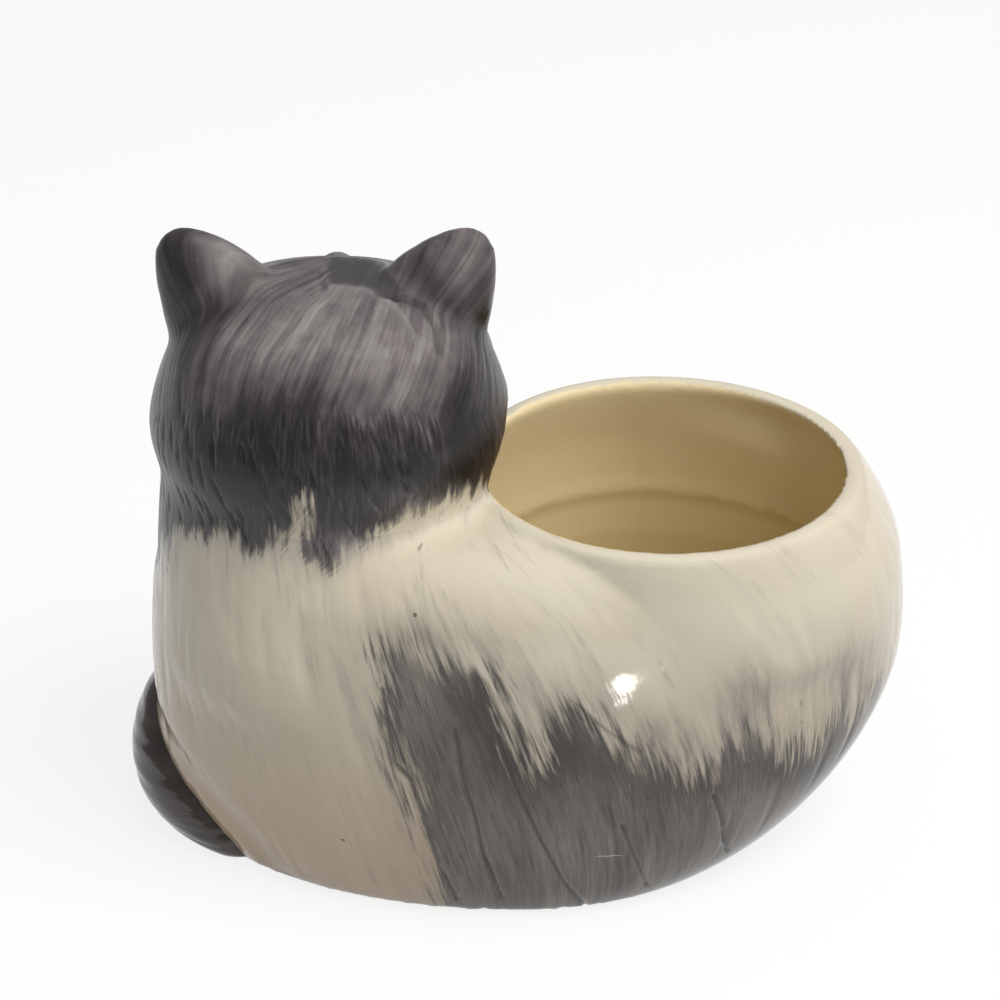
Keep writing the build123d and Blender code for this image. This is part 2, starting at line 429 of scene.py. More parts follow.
def patches(seen, spots):
    """Sum of soft round patches, each a middle, half width, half height in pixels and a strength."""
    total = np.zeros(len(seen))
    for middle_x, middle_y, half_x, half_y, strength in spots:
        reach = ((seen[:, 0] - middle_x) / half_x) ** 2 + ((seen[:, 1] - middle_y) / half_y) ** 2
        total += strength * np.exp(-reach)
    return total


def groove(distance, half_width):
    """A rounded valley, 1 deep in its middle and 0 past its edges."""
    return np.exp(-2 * (distance / half_width) ** 2)


def trunk_flow(points):
    """Turn round the trunk along the fall of its fur, and height up it, over the shoulder too."""
    x, y = points[:, 0] / TRUNK_HALF_LENGTH, points[:, 1] / TRUNK_HALF_DEPTH
    turn = np.arctan2(y, x)
    inwards = 1 - np.hypot(x, y)
    inwards = (inwards + np.sqrt(inwards ** 2 + 0.02)) / 2
    up = points[:, 2] + TRUNK_GIRTH_RADIUS * inwards
    rise = up / TRUNK_GIRTH_RADIUS
    return turn + (LEAN * rise + LEAN_GROWTH * rise ** 2) * np.sin(turn), up


def head_flow(points):
    """Turn round the forehead's whorl, and distance combed away from it."""
    ray = points - np.array((HEAD_TO_TRUNK, 0, RIM_HEIGHT + HEAD_CORE_RISE))
    ray /= np.linalg.norm(ray, axis=1)[:, None]
    side = FUR_POLE.cross(Vector((0, 0, 1))).normalized()
    behind = side.cross(FUR_POLE)
    pole, side, behind = np.array(FUR_POLE), np.array(side), np.array(behind)
    turn = np.arctan2(ray @ side, ray @ behind)
    return turn, np.arccos(np.clip(ray @ pole, -1, 1)) * HEAD_RADIUS


def wound(turn, radius, along):
    """Turn and length as one vector, which has no seam where the turn closes."""
    return np.stack((radius * np.cos(turn), radius * np.sin(turn), along), 1)


# Lines of the painting and carving, drawn in the picture's pixels.
HEAD_COAT = (
    (100, 150), (100, 560), (158, 566), (170, 540), (183, 532), (196, 536), (214, 532), (238, 538),
    (250, 552), (265, 556), (280, 535), (294, 528), (303, 502), (307, 520), (303, 552), (318, 560),
    (332, 567), (352, 550), (378, 536), (402, 522), (432, 506), (462, 496), (490, 490), (520, 470),
    (560, 400), (560, 150),
)
RUMP_COAT = (
    (376, 652), (384, 690), (390, 735), (404, 775), (424, 835), (446, 905), (470, 1000),
    (1100, 1000), (1100, 600), (871, 694), (853, 714), (828, 727), (808, 743), (790, 752),
    (770, 740), (752, 728), (735, 746), (712, 768), (690, 772), (654, 768), (640, 752), (606, 730),
    (577, 708), (562, 714), (548, 745), (533, 766), (520, 738), (506, 704), (490, 676), (468, 664),
    (446, 666), (418, 648), (398, 640),
)
FOREHEAD = (
    (328, 246), (331, 284), (350, 286), (372, 292), (396, 300), (404, 290), (380, 262), (360, 244),
)
CROWN_RIDGE = ((330, 289), (362, 291), (388, 301), (404, 318), (413, 337))
CROWN_FOLD = ((378, 296), (404, 298), (424, 306), (436, 326), (440, 352))
CROWN_NOTCH = ((316, 250), (318, 272), (324, 287))
LEFT_EAR_FOLD = ((258, 262), (236, 288), (214, 318), (190, 342))
LEFT_EAR_CREST = ((196, 240), (222, 246), (238, 258), (250, 270))
RIGHT_EAR_FOLD = ((416, 270), (432, 292), (456, 310), (480, 324))
RUMP_GROOVES = (
    ((382, 690), (390, 745), (396, 765), (410, 780), (423, 815), (440, 870), (456, 898)),
    ((455, 730), (463, 780), (475, 820), (484, 860), (500, 896)),
    ((498, 735), (515, 785), (540, 840), (565, 885), (585, 905)),
    ((622, 826), (634, 856), (646, 884)),
    ((714, 796), (722, 820), (726, 850)),
)
PAINTED_EDGE = ((577, 704), (590, 716), (606, 730), (624, 742), (640, 752))

# Soft patches of tone: middle, half width and half height in pixels, and how much paler.
# On the head they are partly the paint's own uneven tone and partly painted light and shade: paler
# where light falls on the crown and the left ear's crest, darker low on the head and at its sides.
HAIR_TONES_AND_LIGHT = (
    (385, 350, 60, 62, 0.28), (250, 335, 55, 60, 0.24), (310, 320, 40, 50, 0.10),
    (285, 408, 38, 36, -0.20), (250, 490, 120, 62, -0.42), (405, 482, 60, 40, -0.30),
    (475, 430, 38, 60, -0.40), (455, 355, 26, 36, 0.10), (225, 262, 32, 26, 0.34),
    (174, 298, 22, 52, -0.50), (470, 258, 26, 24, 0.14), (492, 320, 20, 46, -0.24),
    (225, 312, 26, 12, -0.14), (440, 300, 26, 12, -0.10), (340, 545, 50, 16, 0.34),
    (440, 506, 60, 14, 0.46), (190, 420, 26, 60, -0.05), (345, 300, 30, 10, 0.12),
)
RUMP_TONES = (
    (478, 705, 30, 44, -0.22), (556, 752, 44, 30, -0.26), (660, 800, 18, 56, -0.14),
    (706, 784, 24, 14, -0.18), (796, 768, 44, 16, -0.22), (412, 696, 30, 48, 0.24),
    (520, 748, 30, 34, -0.28), (480, 860, 44, 52, 0.10), (560, 830, 40, 34, 0.04),
    (750, 820, 60, 26, 0.08), (424, 650, 30, 18, 0.30), (850, 740, 30, 24, -0.10),
)
WASHES = (
    (440, 634, 36, 24, 0.28), (400, 640, 24, 26, 0.28), (500, 655, 26, 30, 0.25),
    (748, 706, 30, 40, 0.75), (690, 742, 34, 28, 0.60), (610, 706, 26, 26, 0.45),
    (846, 672, 28, 44, 0.55), (540, 720, 24, 34, 0.40), (655, 735, 24, 26, 0.45),
    (800, 720, 16, 44, 0.20),
)
GLINT_PX = (624, 684)

# Where the glaze is left smooth round the glint.
CALM = ((640, 680, 100, 64, 1.0),)

# Specks and a crease of glaze: pixel, radii in millimetres, turn and strength. Then the scratch.
SPECKS = (
    ((415, 615), (0.5, 0.5), 0, 0.7), ((343, 840), (0.6, 0.4), 0, 0.7),
    ((420, 547), (0.8, 0.3), 0.6, 0.4), ((801, 703), (0.4, 0.8), 0, 0.3),
    ((801, 722), (0.4, 0.6), 0, 0.3),
)
SCRATCH = ((609, 856), (3.6, 0.16), -0.13)

# Lines of the face, in millimetres from the middle of the head's seat, for the half that mirrors.
EYE = (
    (10.4, 25.4), (12.6, 29.4), (16.4, 31.6), (20.6, 31.2), (24.0, 28.8), (21.8, 25.6), (17.4, 23.8),
    (13.2, 24.2),
)
EYE_MIDDLE = (17.4, 27.7)
PUPIL = (1.7, 3.2)
NOSE = (
    (0, 22.8), (3.4, 22.8), (4.6, 21.4), (2.6, 18.6), (0, 17.2), (-2.6, 18.6), (-4.6, 21.4),
    (-3.4, 22.8),
)
NOSTRIL = (2.5, 19.6)
MOUTH = ((0, 17.4), (0, 12.6), (2.4, 10.6), (6.4, 9.4), (10.6, 11.0))
BLAZE = (
    (-1.2, 35), (1.2, 35), (3.2, 31), (4.6, 26), (10, 21.5), (17.5, 19), (23, 11), (21, 0),
    (14, -8), (-14, -8), (-21, 0), (-23, 11), (-17.5, 19), (-10, 21.5), (-4.6, 26), (-3.2, 31),
)
INNER_EAR = (
    (20, 42.5), (19.5, 47), (22.5, 52), (28, 56.5), (32.5, 58.5), (34.5, 53), (34.8, 47), (31, 42),
    (25, 40.5),
)
WHISKER_PITS = ((6.2, 14.6), (9.4, 15.4), (12.6, 15.8), (7.6, 12.2), (10.8, 12.8))


# The casting


def find_inside(figure):
    """Keep how far, in millimetres, each vertex lies past the lip into the bowl or a hollow."""
    x, y, z = points_of(figure).T
    from_mouth = np.hypot(x + MOUTH_TO_TRUNK, y)
    at_lip = (from_mouth < MOUTH_RADIUS + WALL + 1) & (np.abs(z - RIM_HEIGHT) < LIP_BAND)
    under_head = np.hypot(x - HEAD_TO_TRUNK, y) < HEAD_RADIUS + 1
    under_head &= from_mouth < MOUTH_RADIUS + 3
    at_foot = z < FOOT_BAND
    outer = flood(figure, int(np.argmax(y)), at_lip | at_foot) | at_foot
    past_lip = np.where(under_head, RIM_HEIGHT - z, MOUTH_RADIUS + 1.2 - from_mouth)
    past_lip = np.clip(past_lip, -3, 3)
    keep_value(figure, "inside", np.where(at_lip, past_lip, np.where(outer, -3.0, 3.0)))


def gap_to_laid_on(points, outer):
    """Distance in millimetres from the tail and paws, on the low outside of the casting."""
    laid_on = clay_copy("laid on", LAID_ON)
    gap = np.full(len(points), 99.0)
    low = outer & (points[:, 2] < 62) & (points[:, 2] > 1)
    gap[low] = nearest_on(surface_tree(laid_on), points[low])[0]
    bpy.data.objects.remove(laid_on)
    return gap


def even_the_clay(figure):
    """Thicken the bowl's wall at the rump's corners, and press the crown a little flatter."""
    find_inside(figure)
    x, y, z = points_of(figure).T
    bowl = (kept_value(figure, "inside") > 2) & (x < -MOUTH_TO_TRUNK) & (z > 5) & (z < RIM_HEIGHT)
    corner = (-MOUTH_TO_TRUNK - x) / BOWL_REACH
    below_lip = step(RIM_HEIGHT - 4, RIM_HEIGHT - 18, z)
    squeezed = y * (1 - WALL_GAIN * groove(corner - 0.72, 0.6) * below_lip * bowl)
    crown = groove(x - HEAD_TO_TRUNK, 22) * step(RIM_HEIGHT + 40, RIM_HEIGHT + 51, z)
    move_points(figure, np.stack((x, squeezed, z - CROWN_FLATTENING * crown), 1))


def shape_figure():
    """Body, head and ears as one casting, with its joins and ledges smoothed by a wet brush."""
    figure = clay_copy("figure", ("body", "head", "left_ear", "right_ear"))
    even_the_clay(figure)
    finish_modifier(figure, "REMESH", mode="VOXEL", voxel_size=VOXEL * MM)

    x, y, z = points_of(figure).T
    from_mouth = np.hypot(x + MOUTH_TO_TRUNK, y)
    lip = step(9, 4, np.abs(from_mouth - MOUTH_RADIUS - WALL / 2)) * step(90, 96, z)
    lip *= step(107, 104, z)
    weigh(figure, "all over", 1 - np.maximum(0.8 * lip, 0.4 * step(5, 2, z)))
    wet_brush(figure, ALL_OVER_ROUNDS, "all over")
    neck = step(34, 40, np.hypot(x - HEAD_TO_TRUNK, y)) * step(18, 8, np.abs(z - RIM_HEIGHT))
    ears = step(RIM_HEIGHT + 26, RIM_HEIGHT + 34, z)
    weigh(figure, "joins", np.maximum(neck * (1 - lip), 0.35 * ears))
    wet_brush(figure, JOIN_ROUNDS, "joins")

    find_inside(figure)
    points = points_of(figure)
    x, y, z = points.T
    outer = kept_value(figure, "inside") < 0
    collar_foot = step(17, 9, np.abs(z - COLLAR_FOOT)) * step(0, -15, x)
    neck_foot = step(17, 9, np.abs(z - NECK_FOOT)) * step(15, 30, x)
    mirror = patches(in_picture(points), CALM) * (y > 0)
    weigh(figure, "ledges", np.maximum.reduce((collar_foot, neck_foot, mirror)) * outer)
    wet_brush(figure, LEDGE_ROUNDS, "ledges")
    weigh(figure, "beside", step(13, 7, gap_to_laid_on(points_of(figure), outer)))
    wet_brush(figure, BESIDE_ROUNDS, "beside")
    return figure


def refine(figure):
    """Halve the mesh where fine lines are cut: on the head, and along the rump's grooves."""
    points = points_of(figure)
    outer = kept_value(figure, "inside") < 0
    from_lines = from_curves(in_picture(points), (*RUMP_GROOVES, PAINTED_EDGE))
    near_line = (from_lines < FINE_REACH) & (points[:, 1] > 0)
    subdivide_where(figure, outer & ((points[:, 2] > RIM_HEIGHT - 6) | near_line))


def draw_face(points, normals):
    """The face's fields for its paint, and how deep its lines are cut."""
    across, rise, forward = points[:, 0] - HEAD_TO_TRUNK, points[:, 2] - RIM_HEIGHT, -points[:, 1]
    whole_face = np.stack((across, rise), 1)
    face = np.stack((np.abs(across), rise), 1)
    in_front = step(22, 28, forward)
    eye = np.where(forward > 24, from_outline(face, EYE, 1), -9)
    mouth = np.where(forward > 30, from_curve(face, MOUTH, 1), 9)
    to_pit = [np.linalg.norm(face - np.array(pit), axis=1) for pit in WHISKER_PITS]
    pits = groove(np.minimum.reduce(to_pit), 0.9) * step(40, 42, forward)
    lines = np.maximum(0.9 * groove(mouth, 0.8), 0.5 * pits)
    nostrils = groove(np.hypot((face[:, 0] - NOSTRIL[0]) / 1.5, rise - NOSTRIL[1]), 0.7)
    nostrils *= step(44, 46, forward)
    cupped = (forward > 3) & (normals[:, 1] < 0.1)
    fields = {
        "eye": eye,
        "pupil": 1 - np.linalg.norm((face - np.array(EYE_MIDDLE)) / np.array(PUPIL), axis=1),
        "nose": np.where(forward > 44, from_outline(whole_face, NOSE, 1), -9),
        "blaze": np.where(forward > 26, from_outline(whole_face, BLAZE, 1), -20),
        "inner_ear": np.where(cupped, from_outline(face, INNER_EAR, 1), -9),
        "face_line": np.maximum(lines, nostrils),
    }
    lids = groove(eye + 1.6, 1.6) * in_front
    depth = lines + 0.8 * nostrils + 0.6 * groove(eye, 0.6) * in_front - 0.7 * lids
    return fields, depth


def carve_figure(figure):
    """Cut the fur's strokes into the clay, and note where the paint goes."""
    find_inside(figure)
    refine(figure)
    points, normals = points_of(figure), normals_of(figure)
    x, y, z = points.T
    inside = kept_value(figure, "inside")
    outer = inside < 0
    seen = in_picture(points)
    across_picture, down_picture = seen.T
    coat = np.where(z > 60, from_outline(seen, HEAD_COAT), -20)
    rump = np.where(z < RIM_HEIGHT - 3, from_outline(seen, RUMP_COAT), -20)
    on_head = step(-2, 3, coat)
    on_rump = step(-1, 5, rump)
    calm = 1 - patches(seen, CALM)
    on_body = (1 - on_head) * step(0, 10, z) * step(101, 92, z) * calm
    lower = step(398, 430, down_picture) * on_head
    behind, shown = step(-10, 5, y), step(-8, 0, y)

    turn, up = trunk_flow(points)
    on_trunk = (turn * TRUNK_GIRTH_RADIUS, up, 2 * math.pi * TRUNK_GIRTH_RADIUS)
    soft = np.maximum(strokes(*on_trunk, **SOFT_FUR), 0.6 * strokes(*on_trunk, **SHORT_FUR))
    sharp = strokes(*on_trunk, **SHARP_FUR)
    whorl, combed = head_flow(points)
    head_girth = 2 * math.pi * HEAD_RADIUS
    combing = strokes(whorl * HEAD_RADIUS, combed, head_girth, **COMBED_HAIR)
    head_turn = np.arctan2(x - HEAD_TO_TRUNK, y)
    cuts = strokes(head_turn * HEAD_RADIUS, z, head_girth, **NAPE_CUTS)
    cuts *= 1 - 0.9 * step(398, 430, across_picture)
    cuts *= 0.4 + 0.6 * step(165, 235, across_picture)
    cuts *= lower * step(-2, 1, coat) * step(-30, 10, y)

    long_grooves = groove(from_curves(seen, RUMP_GROOVES), 0.8) * behind
    edge_line = 0.7 * groove(from_curve(seen, PAINTED_EDGE), 0.6) * behind
    crown_fold = 0.8 * groove(from_curve(seen, CROWN_FOLD), 1.3)
    crown_notch = 0.6 * groove(from_curve(seen, CROWN_NOTCH), 1.2)
    ear_folds = 0.6 * groove(from_curves(seen, (LEFT_EAR_FOLD, RIGHT_EAR_FOLD)), 5)
    creases = np.maximum.reduce((crown_fold, crown_notch, ear_folds)) * shown
    crown_ridge = groove(from_curve(seen, CROWN_RIDGE), 1.5)
    ear_crest = 0.7 * groove(from_curve(seen, LEFT_EAR_CREST), 2.6)
    ridges = np.maximum(crown_ridge, ear_crest) * shown
    face_fields, face_depth = draw_face(points, normals)

    depth = FUR_DEPTH * soft * on_body * (1 - on_rump)
    depth += SHARP_DEPTH * sharp * on_rump * calm
    depth += CUT_DEPTH * cuts
    depth += COMBED_DEPTH * combing * on_head * (1 - lower) * (1 - step(-1, 1, face_fields["eye"]))
    depth += GROOVE_DEPTH * long_grooves + creases - RIDGE_RISE * ridges + face_depth
    rings = sum(stand * groove(z - rise, half) for rise, half, stand in BOWL_RINGS)
    depth = np.where(outer, depth, -rings * (x < 12))
    gap = gap_to_laid_on(points, outer)
    fillet = sum(rise * groove(gap - place, half) for rise, place, half in (BEAD, VALLEY))
    depth -= np.where(outer & (z > 1), fillet, 0)
    move_points(figure, points - normals * depth[:, None])
    wet_brush(figure, CARVED_ROUNDS, "beside")

    # Dark-filled cuts and grooves, and painted shade along the creases of the crown and at the ears'
    # bases.
    cuts_and_crease_shade = np.maximum.reduce((cuts, 0.8 * long_grooves, 0.6 * creases, edge_line))
    fields = {
        "trunk_fur": wound(turn, TRUNK_GIRTH_RADIUS, up),
        "head_fur": wound(whorl, HEAD_RADIUS, combed),
        "falling_fur": wound(head_turn, HEAD_RADIUS, z),
        "coat": coat,
        "rump": np.where(outer, rump, -20),
        "rump_tone": 0.5 + patches(seen, RUMP_TONES),
        "wash": patches(seen, WASHES) * (z < RIM_HEIGHT - 3),
        "hair_tone": 0.42 + patches(seen, HAIR_TONES_AND_LIGHT),
        "lower": lower,
        "forehead": np.where(y > -26, from_outline(seen, FOREHEAD), -9),
        # The same ridges, kept for a painted highlight along them.
        "shine": ridges * outer,
        "cut": cuts_and_crease_shade * outer,
        "glaze_normal": normals_of(figure),
    }
    for name, values in (fields | face_fields).items():
        keep_value(figure, name, values)

    weigh(figure, "hollows", (inside > 2).astype(float))
    finish_modifier(figure, "DECIMATE", ratio=HOLLOW_THINNING, vertex_group="hollows")


def cut_piece(figure, name, cuts):
    """A closed piece of the casting: what is left once each plane has taken its far side."""
    piece = bpy.data.objects.new(name, figure.data.copy())
    scene.collection.objects.link(piece)
    only(piece)
    bpy.ops.object.mode_set(mode="EDIT")
    for middle, facing, keep_above in cuts:
        bpy.ops.mesh.select_all(action="SELECT")
        bpy.ops.mesh.bisect(
            plane_co=middle,
            plane_no=facing,
            clear_inner=keep_above,
            clear_outer=not keep_above,
            use_fill=True,
            threshold=0.0001 * MM,
        )
    bpy.ops.object.mode_set(mode="OBJECT")
    mesh = piece.data
    mesh.shade_smooth()
    normals = rows_of(mesh.attributes["glaze_normal"].data, "vector")
    normals /= np.maximum(np.linalg.norm(normals, axis=1), 1e-6)[:, None]
    mesh.normals_split_custom_set_from_vertices(normals.tolist())
    mesh.attributes.remove(mesh.attributes["glaze_normal"])
    return piece


def part_figure(figure):
    """The casting cut into body, head and ears."""
    seat = Vector((FIGURE_X, FIGURE_Y, RIM_HEIGHT + LUTING_RISE)) * MM
    up = Vector((0, 0, 1))
    parts = {"body": cut_piece(figure, "glazed_body", ((seat + up * LAP * MM, up, False),))}
    ear_planes = []
    for side in (1, -1):
        across = HEAD_TO_TRUNK + side * EAR_SPREAD + FIGURE_X
        middle = Vector((across, FIGURE_Y, RIM_HEIGHT + EAR_CUT_RISE)) * MM
        facing = Vector((side * math.sin(EAR_CUT_TILT), 0, math.cos(EAR_CUT_TILT)))
        ear_planes.append((middle, facing))
    for name, (middle, facing) in zip(("left_ear", "right_ear"), ear_planes):
        parts[name] = cut_piece(figure, "glazed_" + name, ((seat, up, True), (middle, facing, True)))
    below = [(middle + facing * LAP * MM, facing, False) for middle, facing in ear_planes]
    parts["head"] = cut_piece(figure, "glazed_head", [(seat, up, True)] + below)
    return parts


figure = shape_figure()
carve_figure(figure)
pieces = part_figure(figure)


def lay_on(node, name, rounds):
    """A piece laid on the casting: its own closed mesh, pressed a little into the clay behind it."""
    piece = clay_copy(name, (node,))
    finish_modifier(piece, "REMESH", mode="VOXEL", voxel_size=FINE_VOXEL * MM)
    wet_brush(piece, rounds)
    points = points_of(piece)
    gap, outward = nearest_on(figure_tree, points)
    move_points(piece, points - outward * (SINK * step(3, 0.5, gap))[:, None])
    piece.data.shade_smooth()
    return piece


def make_tail():
    """The brush of a tail, with its fur combed along it to the tip."""
    tail = lay_on("tail", "brushed_tail", TAIL_ROUNDS)
    points, normals = points_of(tail), normals_of(tail)
    x, y = points[:, 0] / TRUNK_HALF_LENGTH, points[:, 1] / TRUNK_HALF_DEPTH
    across = points[:, 2] + np.hypot(x, y) * 30
    along = np.arctan2(y, x) * TRUNK_GIRTH_RADIUS
    off_floor = step(1, 5, points[:, 2])
    locks = strokes(across, along, TAIL_GIRTH, **TAIL_LOCKS)
    hairs = strokes(across, along, TAIL_GIRTH, **TAIL_HAIRS)
    depth = (LOCK_DEPTH * locks + TAIL_HAIR_DEPTH * hairs) * off_floor
    move_points(tail, points - normals * depth[:, None])
    keep_value(tail, "lock", np.stack((across, across * 0, along), 1))
    keep_value(tail, "cut", np.maximum(0.6 * locks, hairs) * off_floor)
    return tail


def make_paw(node, name):
    """A paw with its toes parted."""
    paw = lay_on(node, name, PAW_ROUNDS)
    points, normals = points_of(paw), normals_of(paw)
    low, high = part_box(node)
    middle = (low.x + high.x) / 2 / MM - FIGURE_X
    front = low.y / MM - FIGURE_Y
    to_parting = [np.abs(points[:, 0] - middle - share * TOE_PITCH) for share in (-1, 0, 1)]
    partings = groove(np.minimum.reduce(to_parting), 1) * step(front + 12, front + 4, points[:, 1])
    move_points(paw, points - normals * (TOE_DEPTH * partings)[:, None])
    keep_value(paw, "cut", partings)
    keep_value(paw, "reach", points[:, 1] - front)
    return paw


figure_tree = surface_tree(figure)
pieces["tail"] = make_tail()
for node in PAWS:
    pieces[node] = make_paw(node, "glazed_" + node)
bpy.data.objects.remove(figure)
body_tree = surface_tree(pieces["body"])


def surface_at(pixel):
    """Point and mean outward direction where the camera's line through a pixel meets the body."""
    right, up, back = camera_axes()
    reach = SENSOR / LENS / PICTURE_PX
    found = []
    for across in (-8, 0, 8):
        for down in (-8, 0, 8):
            offset = right * (pixel[0] + across - AIM_PX[0]) - up * (pixel[1] + down - AIM_PX[1])
            line = (offset * reach - back).normalized()
            found.append(body_tree.ray_cast(camera.location, line))
    outward = sum((hit[1] for hit in found if hit[1]), Vector()).normalized()
    return found[4][0], outward


# Materials


class Value:
    """A socket whose sums and products add their own Math nodes."""

    def __init__(self, tree, socket):
        self.tree = tree
        self.socket = socket

    def math(self, operation, *values):
        node = self.tree.nodes.new("ShaderNodeMath")
        node.operation = operation
        for entry, value in zip(node.inputs, values):
            if isinstance(value, Value):
                self.tree.links.new(value.socket, entry)
            else:
                entry.default_value = value
        return Value(self.tree, node.outputs[0])

    def __add__(self, other):
        return self.math("ADD", self, other)

    def __radd__(self, other):
        return self.math("ADD", other, self)

    def __sub__(self, other):
        return self.math("SUBTRACT", self, other)

    def __rsub__(self, other):
        return self.math("SUBTRACT", other, self)

    def __mul__(self, other):
        return self.math("MULTIPLY", self, other)


class Finish:
    """A material under construction."""

    def __init__(self, name):
        self.material = bpy.data.materials.new(name)
        self.material.use_nodes = True
        self.tree = self.material.node_tree
        self.tree.nodes.clear()

    def add(self, kind, settings=None, sockets=None, output=0):
        """A node of this kind with its settings made first, then its sockets filled or linked."""
        node = self.tree.nodes.new(kind)
        for key, value in (settings or {}).items():
            if key == "stops":
                while len(node.color_ramp.elements) < len(value):
                    node.color_ramp.elements.new(1)
                for element, (place, colour) in zip(node.color_ramp.elements, value):
                    element.position = place
                    element.color = (*colour, 1)
            else:
                setattr(node, key, value)
        for key, value in (sockets or {}).items():
            entry = node.inputs[key]
            if isinstance(value, Value):
                self.tree.links.new(value.socket, entry)
            elif isinstance(value, tuple) and entry.type == "RGBA":
                entry.default_value = (*value, 1)
            else:
                entry.default_value = value
        return Value(self.tree, node.outputs[output]) if node.outputs else node

    def field(self, name):
        return self.add("ShaderNodeAttribute", {"attribute_name": name}, output=2)

    def flow(self, name):
        return self.add("ShaderNodeAttribute", {"attribute_name": name}, output=1)

    def place(self):
        return self.add("ShaderNodeTexCoord", output=3)

    def height(self):
        """Height above the floor in millimetres."""
        return self.add("ShaderNodeSeparateXYZ", {}, {"Vector": self.place()}, output=2) * (1 / MM)

    def unglazed(self):
        """1 on the foot, which is wiped free of glaze."""
        return 1 - self.rise(self.height(), 0.5, 1.3)

    def rise(self, value, low, high):
        """Smooth step of a value between two limits."""
        return self.add(
            "ShaderNodeMapRange",
            {"interpolation_type": "SMOOTHSTEP"},
            {"Value": value, "From Min": low, "From Max": high},
        )

    def ramp(self, value, stops):
        return self.add("ShaderNodeValToRGB", {"stops": stops}, {"Fac": value})

    def mix(self, amount, first, second):
        """Colours mixed by an amount from 0 to 1."""
        node = self.tree.nodes.new("ShaderNodeMix")
        node.data_type = "RGBA"
        entries = {entry.identifier: entry for entry in node.inputs}
        for key, value in (("Factor_Float", amount), ("A_Color", first), ("B_Color", second)):
            if isinstance(value, Value):
                self.tree.links.new(value.socket, entries[key])
            else:
                entries[key].default_value = (*value, 1) if isinstance(value, tuple) else value
        return Value(self.tree, next(o for o in node.outputs if o.identifier == "Result_Color"))

    def noise(self, vector, wide, long, detail=3, roughness=0.55, shift=0):
        """Brushed noise: streaks this wide and this long, in the vector's units."""
        scale = (1 / wide, 1 / wide, 1 / long)
        stretched = self.add(
            "ShaderNodeMapping",
            {},
            {"Vector": vector, "Location": (shift, shift, shift), "Scale": scale},
        )
        return self.add(
            "ShaderNodeTexNoise",
            {},
            {"Vector": stretched, "Scale": 1.0, "Detail": detail, "Roughness": roughness},
        )

    def mark(self, pixel, radii, turn=0):
        """1 within a small oval on the body at this pixel, with radii in millimetres."""
        middle, _ = surface_at(pixel)
        local = self.add(
            "ShaderNodeMapping",
            {"vector_type": "TEXTURE"},
            {
                "Vector": self.place(),
                "Location": tuple(middle),
                "Rotation": (0, turn, 0),
                "Scale": (radii[0] * MM, 3 * MM, radii[1] * MM),
            },
        )
        reach = self.add("ShaderNodeVectorMath", {"operation": "LENGTH"}, {0: local}, output=1)
        return self.rise(reach, 1.2, 0.8)

    def bump(self, height, distance):
        return self.add("ShaderNodeBump", {}, {"Height": height, "Strength": 1.0, "Distance": distance})

    def glaze(self, colour, roughness, normal=None):
        sockets = {"Base Color": colour, "Roughness": roughness, "IOR": 1.5}
        if normal is not None:
            sockets["Normal"] = normal
        shader = self.add("ShaderNodeBsdfPrincipled", {}, sockets)
        self.add("ShaderNodeOutputMaterial", {}, {"Surface": shader})
        return self.material


# Colours of the underglaze and the clay, and of painted shade. The stops run from the darkest streak to
# the palest.
CREAM =(0.67, 0.62, 0.495)
CREAM_PINK = (0.63, 0.555, 0.44)
CREAM_GREY = (0.40, 0.37, 0.32)
WASH_GREY = (0.27, 0.245, 0.215)
BOWL_TAN = (0.84, 0.71, 0.44)
BOWL_SHADE = (0.49, 0.375, 0.165)
LOW_SHADE_CREAM = (0.57, 0.41, 0.27)
BARE_CLAY = (0.66, 0.60, 0.50)
LINE_DARK = (0.010, 0.009, 0.009)
GROOVE_DARK = (0.035, 0.030, 0.027)
FRINGE_GREY = (0.28, 0.255, 0.26)
FOREHEAD_DARK = (0.038, 0.035, 0.043)
HAIR_STOPS = (
    (0.0, (0.014, 0.012, 0.013)), (0.28, (0.050, 0.043, 0.046)), (0.55, (0.150, 0.132, 0.135)),
    (0.80, (0.28, 0.26, 0.265)), (1.0, (0.46, 0.43, 0.43)),
)
RUMP_STOPS = (
    (0.0, (0.018, 0.015, 0.015)), (0.3, (0.075, 0.064, 0.058)), (0.55, (0.165, 0.145, 0.130)),
    (0.8, (0.25, 0.225, 0.195)), (1.0, (0.38, 0.345, 0.29)),
)
TAIL_STOPS = (
    (0.0, (0.012, 0.010, 0.009)), (0.4, (0.055, 0.044, 0.039)), (0.7, (0.16, 0.135, 0.118)),
    (1.0, (0.30, 0.26, 0.22)),
)
IRIS = (0.33, 0.33, 0.06)
IRIS_RIM = (0.13, 0.13, 0.02)
NOSE_PINK = (0.52, 0.25, 0.21)
EAR_PINK = (0.42, 0.26, 0.23)
MUZZLE = (0.66, 0.62, 0.54)

# How rough each glaze is, what bare clay adds to that, and how high the brush's streaks stand.
BODY_GLOSS = 0.09
HAIR_GLOSS = 0.33
EYE_GLOSS = 0.07
TAIL_GLOSS = 0.12
PAW_GLOSS = 0.1
BARE_ROUGHNESS = 0.6
HAIR_BUMP = 0.2 * MM
TAIL_BUMP = 0.15 * MM
PAW_BUMP = 0.1 * MM


def trunk_streaks(finish):
    """Wide and fine streaks of the brush along the fur of the trunk."""
    trunk = finish.flow("trunk_fur")
    return finish.noise(trunk, 5.5, 30), finish.noise(trunk, 1.4, 15, 4, 0.62, 7)


